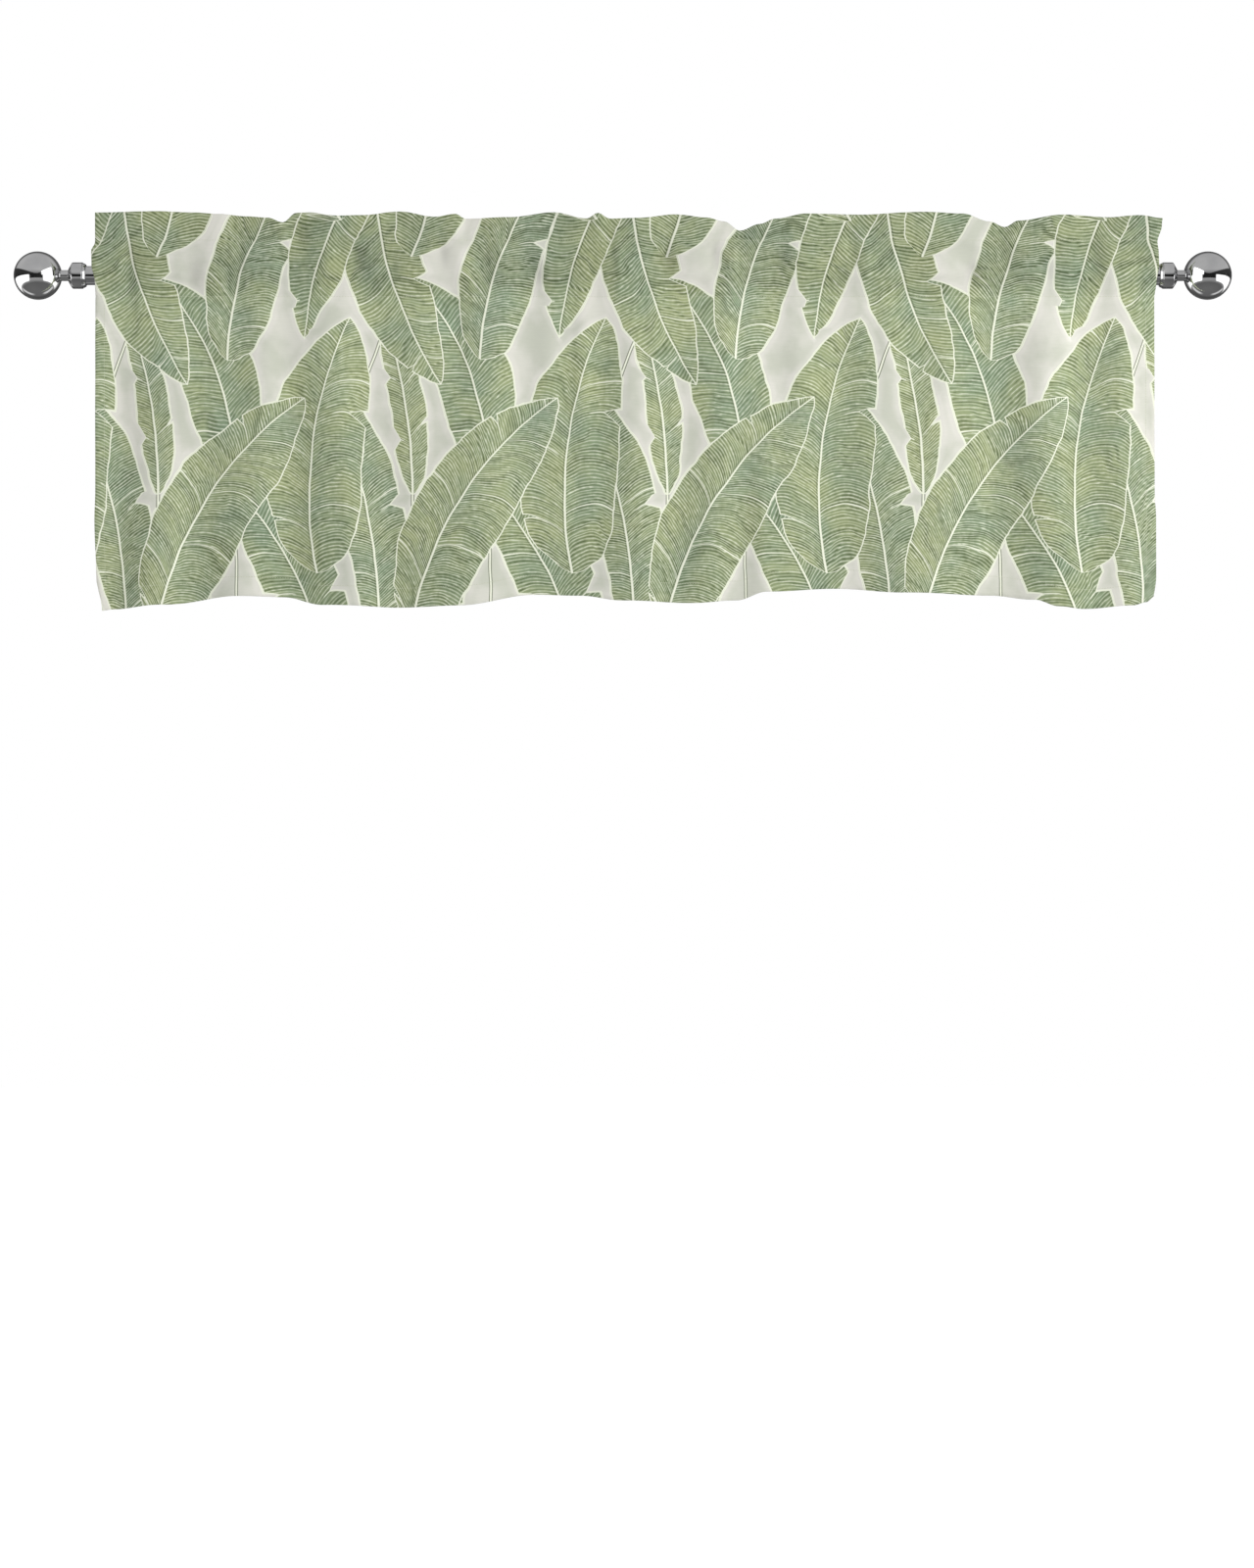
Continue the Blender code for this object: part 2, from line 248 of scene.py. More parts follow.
# sizes in metres on the flat cloth
leafPrint = {
    "repeat": 0.316,  # width of the repeat
    "splitPitch": 0.078,  # about one torn split of a blade in this length
    "splitDepth": 0.034,
    "ragged": 0.012,  # how far a blade's edge strays
    "outline": 0.0017,
    "halo": 0.011,  # how far the pale wash round the leaves reaches
    "wander": 0.008,  # how far the drawing hand strays along a vein
    "uneven": 0.0035,  # how unevenly the veins are spaced
    "nib": 0.0009,  # how much the lines' width varies
    "fine": 0.0008,  # half the width of a fine line, with its soft edge
    "darkVein": 0.0011,
    "stagger": 0.0017,  # half of what the veins of the blade's two sides are out of step
    "ground": tint(200, 203, 189),
    "groundPale": tint(221, 220, 211),
    "leafCool": tint(138, 157, 131),
    "leafWarm": tint(169, 178, 133),
    "line": tint(82, 96, 64),
    "cream": tint(243, 246, 227),
    "stalk": tint(124, 130, 110),
}

drawnSeam = 385.0  # where the lower seam lies in the drawing, in mm from its foot

# Leaves from the back of the drawing to its front. x and y: the middle of the midrib in mm;
# turn: the way the tip points, in degrees; long and half: its length and half its width in mm;
# bow: how far the midrib bends; lean and arch: how the veins lean to the tip and fall back;
# left: the left half's width as a share of the right's; pitch: mm from vein to vein; tone: 0.3
# bluish to 0.7 yellowish; stem: mm of stalk under the blade.
leaves = table(
    "x y turn long half bow lean arch left pitch tone stem",
    (68, 278, 101, 250, 24, 12, 0.8, 8, 0.8, 3.2, 0.61, 90),
    (250, 60, 118, 260, 50, 20, 0.8, 8, 0.9, 4.3, 0.48, 60),
    (90, 30, 74, 240, 54, -14, 0.7, 6, 1, 3.6, 0.57, 60),
    (20, 150, 104, 300, 45, 18, 0.7, 8, 0.75, 3.1, 0.5, 80),
    (272, 215, 82, 300, 65, -26, 0.8, 10, 0.9, 3.7, 0.57, 110),
    (150, 300, 112, 250, 46, 24, 0.6, 4, 1, 4.4, 0.46, 150),
    (140, 150, 56, 330, 63, -34, 0.9, 9, 0.75, 3.3, 0.56, 90),
    (55, 404, -72, 270, 50, 20, 0.7, 7, 0.85, 4, 0.58, 70),
    (192, 440, 68, 260, 50, -22, 0.9, 9, 0.8, 3.2, 0.49, 170),
    (290, 455, -112, 240, 42, 18, 0.6, 6, 0.8, 4.2, 0.56, 60),
    (110, 560, 84, 260, 52, 18, 0.6, 6, 0.8, 3.6, 0.56, 250),
    (250, 590, 108, 250, 50, -20, 0.8, 8, 1, 3.4, 0.51, 190),
)

# how far along a blade, and its width there as a share of its widest: both ends come first
leafWidths = [
    (0, 0), (1, 0), (0.04, 0.40), (0.14, 0.80), (0.36, 1.0), (0.64, 0.93), (0.84, 0.62), (0.95, 0.28),
]


def drawLeaf(flow, number, flat, across, up):
    # One leaf in its own axes: "along" its midrib and "out" from it. The midrib bends as a
    # parabola and the stalk runs straight on from it. The blade is where out is under the width
    # curve, but for splits, which open where a random line is near and the edge is close. Veins
    # are lines of equal along - out * (lean - out * arch), and "saw" is the distance from the
    # nearest pale one. Given back: how far inside the blade a place lies, the ink (red the cream
    # lines, green the dark ones, blue the tone), and the stalk's cream and dark lines.
    hand, nib, wash = flat
    fine = leafPrint["fine"]
    leaf = {name: float(values[number]) for name, values in leaves.items()}
    long = leaf["long"] * mm
    half = leaf["half"] * mm
    pitch = leaf["pitch"] * mm
    cosine = math.cos(math.radians(leaf["turn"]))
    sine = math.sin(math.radians(leaf["turn"]))
    wander = (hand - 0.5) * leafPrint["wander"]
    right = flow.math("WRAP", across - leaf["x"] * mm, leafPrint["repeat"] / 2, -leafPrint["repeat"] / 2)
    rise = up - (leaf["y"] - drawnSeam) * mm
    along = right * cosine + rise * sine
    blade = along.atLeast(-long / 2)
    bend = (blade * blade - (along - blade) * long) * (leaf["bow"] * mm * 4 / long**2)
    side = rise * cosine - right * sine + wander * 0.4 - bend
    way = flow.math("SIGN", side)
    out = abs(side)
    share = along / long + 0.5
    width = flow.node("ShaderNodeFloatCurve", {"points": leafWidths}, {"Value": share})
    width = width * (way * (half * (leaf["left"] - 1) / 2) + half * (1 + leaf["left"]) / 2)
    edge = width - out + (wash - 0.5) * leafPrint["ragged"]

    stalk = share.ramp(0.05, 0.04).atMost((along + long / 2 + leaf["stem"] * mm).ramp(0.0, 0.001))
    stalkCream = stalk.atMost(out.ramp(0.0006, 0.0012, 1.0, 0.0))
    stalkDark = stalk.atMost(abs(out - leafPrint["stagger"]).ramp(0.0003, fine, 1.0, 0.0))

    reach = out / width.atLeast(0.001)
    vein = along - out * (leaf["lean"] - out * leaf["arch"]) + wander + way * leafPrint["stagger"]
    split = flow.node(
        "ShaderNodeTexVoronoi",
        {"voronoi_dimensions": "1D"},
        {"W": vein / leafPrint["splitPitch"] + way * 3.7 + number * 7.3, "Scale": 1.0},
    )
    gap = split * leafPrint["splitPitch"]
    chance = flow.node("ShaderNodeSeparateColor", {}, {0: split.other("Color")})
    notch = (reach - 0.62) * chance.ramp(0.35, 1.0, 0.0, leafPrint["splitDepth"])
    cut = edge.atMost(gap - notch)

    strokes = flow.node(
        "ShaderNodeTexNoise",
        {"noise_dimensions": "1D"},
        {"W": vein * 100.0 + hand * 4.0 + way * 5.3 + number * 9.1, "Scale": 1.0, "Detail": 1.0},
        1,
    )
    press = flow.node("ShaderNodeSeparateColor", {}, {0: strokes})
    second = press.other(1)
    third = press.other(2)
    saw = flow.math("PINGPONG", vein + (third - 0.5) * leafPrint["uneven"], pitch / 2)
    saw = saw + (nib - 0.5) * leafPrint["nib"]
    pale = saw.ramp(-0.0001, fine, 1.0, 0.0) * press.ramp(0.25, 0.75, 0.30, 0.80)
    dark = saw.ramp(pitch / 2 - leafPrint["darkVein"], pitch / 2) * second.ramp(0.25, 0.75, 0.25, 0.92)
    dark = dark.atLeast(second.ramp(0.50, 0.80, 0.0, 0.38))
    dark = dark.atLeast(abs(side - 0.0025).ramp(0.0003, fine, 0.7, 0.0))
    outline = edge.ramp(fine, leafPrint["outline"], 1.0, 0.0)
    tear = (gap - notch.atLeast(0.0) - reach * 0.0005).ramp(0.0, 0.0006, 1.0, 0.0)
    tear = tear.atMost((reach - chance).ramp(-0.5, -0.4))
    rib = (out + share * 0.0008).ramp(0.0011, 0.0018, 1.0, 0.0)
    light = pale.atLeast(outline).atLeast(rib).atLeast(tear)
    shade = way * 0.05 + reach * 0.10 + (leaf["tone"] - 0.05)
    ink = flow.node("ShaderNodeCombineColor", {}, {0: light, 1: dark, 2: shade})
    return cut, ink, stalkCream, stalkDark


def leafPrintColor(flow):
    # the leaves laid over each other in their order, then coloured over the ground; given back
    # with the painted shade of the doubled cloth there and the place on the flat cloth
    flat = flow.node("ShaderNodeUVMap", {"uv_map": "clothFlat"})
    across, up, _ = flat.parts()
    hand = flow.noise(flat, 20.0, 1.0, "2D")  # how the lines wander
    nib = flow.noise(flat, 170.0, 1.0, "2D")  # how their width varies
    wash = flow.noise(flat, 17.0, 4.0, "2D")  # uneven colour and ragged edges
    closest = -1.0
    stalkCream = 0.0
    stalkDark = 0.0
    sheet = grey(0.0)
    for number in range(len(leaves["x"])):
        cut, ink, cream, dark = drawLeaf(flow, number, (hand, nib, wash), across, up)
        closest = cut.atLeast(closest)
        stalkCream = cream.atLeast(stalkCream)
        stalkDark = dark.atLeast(stalkDark)
        sheet = cut.ramp(-0.0006, 0.0).mix(sheet, ink)
    light, dark, tone = sheet.parts()

    paler = wash.ramp(0.35, 0.65) * 0.7 + closest.ramp(-leafPrint["halo"], -0.002) * 0.5
    ground = paler.mix(leafPrint["ground"], leafPrint["groundPale"])
    ground = (closest.ramp(-0.002, -leafPrint["fine"]) * 0.8).mix(ground, leafPrint["cream"])
    ground = stalkDark.mix(ground, leafPrint["stalk"])
    ground = stalkCream.mix(ground, leafPrint["cream"])

    green = (wash * 0.9 + tone - 0.45).ramp(0.15, 0.85).mix(leafPrint["leafCool"], leafPrint["leafWarm"])
    doubledPart = up.ramp(-0.006, 0.026)  # the cloth is doubled from the lower seam up
    deeper = up.ramp(-0.36, -0.10, 0.09, 0.0)  # the leaves darken a little towards the hem
    # the dark lines are painted stronger where the cloth is doubled, as painted shade
    green = (dark * (doubledPart * 0.25 + 0.95) + deeper).mix(green, leafPrint["line"])
    green = (light * 0.92).mix(green, leafPrint["cream"])
    inked = tone.ramp(0.08, 0.24)
    # painted shade where the cloth is doubled: darker all over, more so on the leaves
    doubledShade = doubledPart * (inked * clothFinish["inkDoubledShade"] + clothFinish["groundDoubledShade"])
    return inked.mix(ground, green), doubledShade, across, up


def weave(flow, across, up):
    # plain weave: threads at right angles, each a rounded ridge, with uneven thick threads
    pitch = clothFinish["threadPitch"]
    warp = flow.math("SINE", across * (2 * math.pi / pitch))
    weft = flow.math("SINE", up * (2 * math.pi / pitch))
    drawnOut = flow.node("ShaderNodeCombineXYZ", {}, {0: across * 60.0, 1: up * 900.0})
    slub = flow.noise(drawnOut, 1.0, 2.0, "2D")
    return warp * weft * 0.25 + slub


def clothGroup():
    # the print, the weave and the painted shade of the doubled cloth as one node group, used by both faces
    # of the cloth
    tree = bpy.data.node_groups.new("clothPrint", "ShaderNodeTree")
    for output, kind in (("Color", "Color"), ("Threads", "Float"), ("PaintedDoubledShade", "Float")):
        tree.interface.new_socket(output, in_out="OUTPUT", socket_type="NodeSocket" + kind)
    flow = Flow(tree)
    color, doubledShade, across, up = leafPrintColor(flow)
    flow.node("NodeGroupOutput", {}, {"Color": color, "Threads": weave(flow, across, up), "PaintedDoubledShade": doubledShade})
    return tree


def clothMaterial(name, fade):
    # the printed face, or with some fade its paler reverse, where the ink shows through
    material, flow = newMaterial(name)
    color = flow.node("ShaderNodeGroup", {"node_tree": clothPrint})
    threads = color.other("Threads")
    doubledShade = color.other("PaintedDoubledShade")
    if fade:
        paling = {0: fade, 6: color, 7: clothFinish["reverse"]}
        color = flow.node("ShaderNodeMix", {"data_type": "RGBA"}, paling, 2)
    fold = flow.node("ShaderNodeAttribute", {"attribute_name": "foldTone"}, {}, "Fac")
    # painted shade in the base colour: lighter on the folds' crests, darker in their dips and where the
    # cloth is doubled
    shaded = fold * clothFinish["foldTone"] + (1.0 - doubledShade)
    # painted shade of the weave: the colour a little darker where the threads lie low and lighter where
    # they stand high
    shaded = shaded * threads.ramp(0.2, 0.8, 0.97, 1.005)
    toned = flow.node("ShaderNodeVectorMath", {"operation": "SCALE"}, {0: color, "Scale": shaded})
    relief = flow.node("ShaderNodeBump", {}, {"Strength": 0.25, "Distance": 0.0002, "Height": threads})
    rough = threads.ramp(0.2, 0.8, 0.90, 0.82)
    finish = {"Base Color": toned, "Roughness": rough, "Normal": relief, "Specular IOR Level": 0.25}
    finishMaterial(flow, finish)
    return material


clothPrint = clothGroup()
printedCloth = clothMaterial("printedCloth", 0.0)
clothReverse = clothMaterial("clothReverse", clothFinish["fade"])
print("cloth materials made")


# the cloth, in mm: one sheet from its hem up over the rod pocket and down the back

cloth = {
    "left": -614.0,
    "right": 619.0,
    "upperSeam": 41.0,
    "lowerSeam": -25.0,
    "rod": 11.6,  # the rod's radius and the pocket's gap
    "headingSet": 2.5,  # how far the heading and the drop stand in front of the rod's axis
    "dropSet": 5.0,
    "seamHold": 0.35,  # the share of the heading's folds that is left at the upper seam
    "dropStart": 0.35,  # the gathers' share at the lower seam
    "dropFree": 0.25,  # the share of the drop over which they come to their full depth
    "gatherFade": 0.8,
    "sway": 5.0,
    "edgeReach": 45.0,  # how far in from a side edge its own line draws the cloth
    "hemBand": 25.0,
    "hemStitch": 22.0,  # the hem's stitching above the hem line
    "hemTurn": 0.35,  # the rise of the hem's own fold
    "topTurn": 0.5,
    "sideHem": 11.0,
    "sideStitch": 9.0,
    "sideTurn": 0.3,
    "layer": 0.6,  # how far a front layer stands before the middle of the doubled cloth
    "pad": 0.3,  # what the turned side hem adds to that
    "pinch": 0.3,  # how far a seam draws the cloth in, within about pinchReach of it
    "pinchReach": 2.5,
    "flatWidth": 1320.0,
    "columns": 380,
    "thickness": 0.5,
    "tab": 4.0,  # what is left under the pocket's lower seam at the back
}

heading = table(
    "x forward top",
    (-614, 1, 73), (-545, 4, 74), (-500, 0, 73), (-471, 3, 71), (-440, -3, 69), (-414, 1, 67),
    (-396, 4, 61), (-381, -2, 73), (-366, -5, 74), (-335, 3, 69), (-302, 0, 70), (-261, -5, 75),
    (-219, 1, 68), (-195, 4, 71), (-183, -2, 66), (-132, 5, 67), (-80, -5, 74), (-42, 1, 66),
    (-29, 4, 72), (-15, -1, 66), (18, 6, 66), (62, -1, 71), (98, 1, 67), (118, -2, 63),
    (137, -7, 53), (160, -2, 60), (178, 0, 66), (214, 6, 71), (275, -3, 71), (350, 6, 73),
    (396, 0, 72), (428, -2, 63), (446, -6, 57), (462, -2, 64), (512, 4, 70), (568, -3, 68),
    (600, 1, 70), (619, 4, 66),
)

# how far the cloth stands off the rod along the pocket
puckers = table(
    "x off",
    (-614, 2), (-574, 0), (-543, 3.5), (-499, 0.5), (-478, 2), (-458, 0.5), (-430, 4),
    (-372, 0), (-335, 4.5), (-303, 0), (-277, 2.5), (-263, 1.5), (-231, 4), (-210, 1.5),
    (-181, 5), (-156, 0.5), (-136, 2), (-108, 0), (-88, 1.5), (-65, 0), (-45, 2),
    (-28, 0.5), (10, 5.5), (60, 0), (90, 3), (111, 0.5), (134, 4), (185, 0.5), (212, 4.5),
    (248, 0), (300, 5), (346, 1), (377, 3.5), (403, 0.5), (416, 1.5), (450, 0), (483, 5),
    (503, 2), (524, 3.5), (549, 0), (581, 4), (606, 0.5), (619, 1.5),
)

# narrow folds that start under the pocket and die out down the drop
gathers = table(
    "x forward",
    (-614, 2), (-579, -6), (-520, 5), (-449, -5), (-417, 3), (-387, -6), (-339, 6), (-294, -6),
    (-244, 4), (-207, -4), (-148, 6), (-110, -3), (-86, 1), (-64, -3), (-47, 2), (-26, -5),
    (16, 7), (75, -5), (139, 7), (179, -3), (206, 4), (250, -4), (294, 6), (343, -3), (380, 5),
    (441, -7), (494, 6), (544, -4), (590, 6), (619, 2),
)

# broader folds that grow towards the hem
folds = table(
    "x forward",
    (-614, 3), (-590, -6), (-547, 7), (-492, -7), (-440, 7), (-384, -8), (-310, 8), (-266, -8),
    (-174, 9), (-62, -9), (28, 6), (64, -1), (106, 7), (143, 1), (173, 7), (266, -8), (345, 8),
    (446, -9), (518, 8), (553, 1), (592, 8), (619, 4),
)

hem = table(
    "x drop",
    (-614, 391), (-596, 389), (-536, 384), (-450, 374), (-395, 375), (-350, 384), (-260, 387),
    (-190, 385), (-100, 372), (-50, 373), (0, 379), (84, 382), (132, 379), (168, 369), (250, 365),
    (330, 370), (430, 373), (480, 378), (508, 386), (536, 389), (594, 385), (612, 381), (619, 375),
)

# how far each side edge stands out past its straight line, by height
edges = table(
    "z left right",
    (-392, -8, -3), (-350, -1, 2), (-285, 1, 2), (-250, 0, 0), (-30, 0, 0), (-8, 0, 2), (12, 4, 5),
    (28, 5, 5), (38, 1, 4), (58, 1, 9), (75, 1, 11),
)

# soft creases: middle, length, lean to the right going down, half width, depth
# (a trough is below 0), all in mm but lean
creases = table(
    "x z long lean wide depth",
    (-582, 6, 60, 0.02, 6, 1), (-571, -6, 70, 0.05, 5, -1.1), (-498, -2, 30, 0, 8, -1.4),
    (-452, 28, 26, 0.1, 4, 0.9), (-444, 20, 34, 0.05, 4, -1.2), (-404, 16, 26, 0, 6, 1),
    (-372, 48, 24, 0.2, 9, -1.8), (-338, 26, 34, -0.1, 6, 0.8), (-305, 20, 30, 0.15, 8, -2.2),
    (-265, 6, 24, 0, 5, -1.2), (-208, 26, 30, 0, 6, -1.4), (-182, 10, 26, 0.1, 7, 1.2),
    (-157, 16, 26, 0, 5, -1.4), (-141, 34, 22, 0, 4, 1.1), (-96, 2, 36, 0.3, 9, -2),
    (-10, 26, 50, 0.05, 4, -1.4), (-2, 12, 60, 0.04, 5, 1), (55, 20, 26, 0.1, 9, -2),
    (84, 40, 30, 0.3, 6, 0.8), (110, 26, 26, 0, 6, -1.5), (132, 10, 26, 0, 6, 1.1),
    (189, 22, 34, -0.1, 8, -1.6), (259, 34, 24, 0, 6, 1.1), (271, 18, 46, 0.08, 5, -1),
    (290, 10, 26, 0, 8, 1.2), (410, 4, 24, 0, 8, -1.7), (447, 30, 30, 0.1, 7, -1.5),
    (494, 8, 34, 0.25, 8, -1.4), (554, 28, 40, 0.05, 7, -1.6), (572, 14, 44, 0.05, 4, 0.9),
    (-205, -70, 120, 0.08, 9, 1), (-188, -60, 90, 0.06, 7, -0.9), (30, -60, 80, 0.05, 8, -0.9),
    (126, -80, 130, -0.04, 9, 1.1), (300, -70, 110, 0.05, 9, -1), (520, -75, 120, -0.03, 9, 1),
    (-484, -75, 110, 0.04, 9, -1), (-60, -250, 150, 0.03, 10, 0.9), (150, -270, 160, -0.03, 11, -1),
    (420, -260, 170, 0.02, 11, 0.9), (-330, -280, 150, 0.03, 11, -0.9), (-520, -300, 120, -0.04, 10, 0.9),
)

# small uneven waves in the cloth: each kind's seed, spacing in mm and slant
waves = {
    "upperSeam": (3, 8.0, 0.15),
    "lowerSeam": (4, 9.0, -0.10),
    "heading": (5, 17.0, 0.20),
    "belowSeam": (6, 26.0, 0.05),
    "drop": (7, 42.0, -0.04),
    "hem": (8, 9.0, 0.0),
    "mottleAlong": (9, 36.0, 0.45),
    "mottleUp": (10, 52.0, -0.25),
    "fineAlong": (11, 14.0, 0.30),
    "fineUp": (12, 20.0, -0.15),
    "sway": (13, 75.0, -0.45),
}


def wave(kind, x, z):
    # seeded heights from -1 to 1 at uneven steps, eased between them, along x + slant * z
    seed, spacing, slant = waves[kind]
    chance = np.random.default_rng(seed)
    steps = chance.uniform(0.6, 1.5, 400) * spacing
    places = -900.0 + np.cumsum(steps)
    heights = chance.uniform(-1.0, 1.0, 400)
    return between({"x": places, "height": heights}, "height", x + slant * z)


def headingForward(x, z):
    # the heading's folds: a part of their depth at the upper seam, all of it at the top edge
    share = (z - cloth["upperSeam"]) / (between(heading, "top", x) - cloth["upperSeam"])
    hold = cloth["seamHold"] + (1.0 - cloth["seamHold"]) * share
    return cloth["headingSet"] + between(heading, "forward", x) * hold


def dropForward(x, z):
    # gathers fade from the pocket down as the folds grow, both by the share of the way to the
    # hem, and both sway a little sideways on their way down
    fall = cloth["lowerSeam"] + between(hem, "drop", x)
    share = held((cloth["lowerSeam"] - z) / fall)
    x = x + cloth["sway"] * wave("sway", z, x) * np.minimum(share * 4.0, 1.0)
    gather = cloth["dropStart"] + (1.0 - cloth["dropStart"]) * np.minimum(share / cloth["dropFree"], 1.0)
    gather = gather * (1.0 - share) ** cloth["gatherFade"]
    narrow = between(gathers, "forward", x) * gather
    broad = between(folds, "forward", x) * share
    return cloth["dropSet"] + narrow + broad


def pocketForward(x, z, side):
    # round the rod, straight from it to each seam, and off it by the puckers' half sine; side is
    # 1 for the front and -1 for the back
    radius = cloth["rod"]
    reach = np.sqrt(np.maximum(radius**2 - z**2, 0.0))
    upper = cloth["upperSeam"]
    lower = cloth["lowerSeam"]
    for seam, forward, up in (
        (upper, headingForward(x, np.full_like(x, upper)), 1.0),
        (lower, dropForward(x, np.full_like(x, lower)), -1.0),
    ):
        angle = np.arctan2(forward, seam) + side * up * np.arccos(radius / np.hypot(forward, seam))
        leavesForward = radius * np.sin(angle)
        leavesHeight = radius * np.cos(angle)
        share = (z - leavesHeight) / (seam - leavesHeight)
        line = side * (leavesForward + (forward - leavesForward) * share)
        reach = np.where(share > 0.0, np.maximum(reach, line), reach)
    share = (z - lower) / (upper - lower)
    return side * (reach + between(puckers, "off", x) * np.sin(np.pi * share))


def creaseDepth(x, z):
    # each crease is a bell across its line and a softer bell along it
    depth = np.zeros_like(x)
    for cx, cz, long, lean, wide, deep in zip(*creases.values()):
        across = (x - cx + lean * (z - cz)) / wide
        along = (z - cz) / (long * 0.6)
        depth += deep * np.exp(-(across**2) - along**2)
    return depth


def mottle(x, z):
    # soft unevenness that runs neither up nor along: two slanting waves multiplied, finer
    # above the lower seam, where the gathers pull at the cloth
    low = wave("mottleAlong", x, z) * wave("mottleUp", z, x)
    high = wave("fineAlong", x, z) * wave("fineUp", z, x)
    return low + (high - low) * held((z - cloth["lowerSeam"] + 25.0) / 30.0)


def relief(x, z, stretch):
    # small cloth relief, forward: seam puckers that fade with the distance from their seam, long
    # soft wrinkles, and the creases
    upper = np.abs(z - cloth["upperSeam"])
    lower = np.abs(z - cloth["lowerSeam"])
    pinned = (1.0 - np.exp(-upper / 3.0)) * (1.0 - np.exp(-lower / 3.0))
    fine = 0.55 * wave("upperSeam", x, z) * np.exp(-upper / 8.0)
    fine += 0.70 * wave("lowerSeam", x, z) * np.exp(-lower / 12.0)
    if stretch != "drop":
        fine += mottle(x, z)
    if stretch == "heading":
        fine += 0.60 * wave("heading", x, z) * held(upper / 30.0)
    if stretch == "drop":
        fall = between(hem, "drop", x) + z
        fine += 0.80 * wave("belowSeam", x, z) * np.exp(-lower / 70.0)
        fine += 0.60 * wave("drop", x, z)
        fine += 0.22 * wave("hem", x, z) * np.exp(-(((fall - cloth["hemStitch"]) / 12.0) ** 2))
        fine += 2.00 * mottle(x, z)
    return (fine + creaseDepth(x, z)) * pinned


def foldTone(x, z, stretch):
    # painted light and shade for the base colour, how light the cloth lies: towards 1 on the crests
    # of the folds and -1 in their dips, where less light gets in between, by the folds' usual depth on
    # each stretch; the creases, the seams' puckers and the mottle add their painted shade to it
    if stretch in ("drop", "hemFront", "band", "hemFold", "tab"):
        tone = (dropForward(x, z) - cloth["dropSet"]) / 8.0
    elif stretch in ("pocketFront", "pocketBack"):
        share = held((z - cloth["lowerSeam"]) / (cloth["upperSeam"] - cloth["lowerSeam"]))
        loose = (between(puckers, "off", x) - 2.2) / 2.2
        under = (dropForward(x, np.full_like(x, cloth["lowerSeam"])) - cloth["dropSet"]) / 3.0
        tone = loose * np.sin(np.pi * share) + under * (1.0 - share) ** 3
    else:
        tone = (headingForward(x, z) - cloth["headingSet"]) / 4.5
    seams = np.exp(-np.abs(z - cloth["upperSeam"]) / 9.0) * wave("upperSeam", x, z)
    seams += np.exp(-np.abs(z - cloth["lowerSeam"]) / 10.0) * wave("lowerSeam", x, z)
    above = held((z + 45.0) / 20.0)
    return tone + creaseDepth(x, z) * 3.0 + seams * 0.9 + mottle(x, z) * (0.6 + 0.9 * above)


def drawnPlace(x, z, forward):
    # the point in metres, with the side edges drawn to their own line
    fromLeft = held(1.0 - (x - cloth["left"]) / cloth["edgeReach"])
    fromRight = held(1.0 - (cloth["right"] - x) / cloth["edgeReach"])
    shift = between(edges, "right", z, "z") * fromRight**2 - between(edges, "left", z, "z") * fromLeft**2
    return np.stack([x + shift, -forward, z], axis=-1) * mm


def clothRows():
    # the sheet's way round, from the raw edge of the hem to the tab under the back of the
    # pocket: each row's stretch and how far along the stretch it lies
    fine = np.linspace(0, 1, 44)
    stretches = [
        ("band", np.linspace(0, 1, 7)),
        ("hemFold", [0.5]),
        ("hemFront", np.linspace(0, 1, 6)),
        ("drop", (1.0 - (1.0 - fine) ** 1.35)[1:]),
        ("pocketFront", np.linspace(0, 1, 23)[1:]),
        ("headingFront", np.linspace(0, 1, 11)[1:]),
        ("topFold", [0.5]),
        ("headingBack", np.linspace(0, 1, 7)),
        ("pocketBack", np.linspace(0, 1, 15)[1:]),
        ("tab", [0.5, 1.0]),
    ]
    return [(name, float(share)) for name, shares in stretches for share in shares]


def clothColumns():
    # places along the rod, and which of them belong to the hems turned back at each side
    left = cloth["left"]
    right = cloth["right"]
    turn = cloth["sideTurn"]
    middle = np.linspace(left + turn, right - turn, cloth["columns"])
    turned = np.array([cloth["sideHem"], cloth["sideStitch"], 5.0, turn])
    x = np.concatenate([left + turned, [left], middle, [right], right - turned[::-1]])
    behind = np.zeros(len(x))
    behind[:4] = 1.0
    behind[-4:] = 1.0
    behind[4] = 0.5
    behind[-5] = 0.5
    return x, behind


def pinchAt(z, seam):
    # a bell about the seam, where its stitches draw the cloth in
    return cloth["pinch"] * np.exp(-(((z - seam) / cloth["pinchReach"]) ** 2))


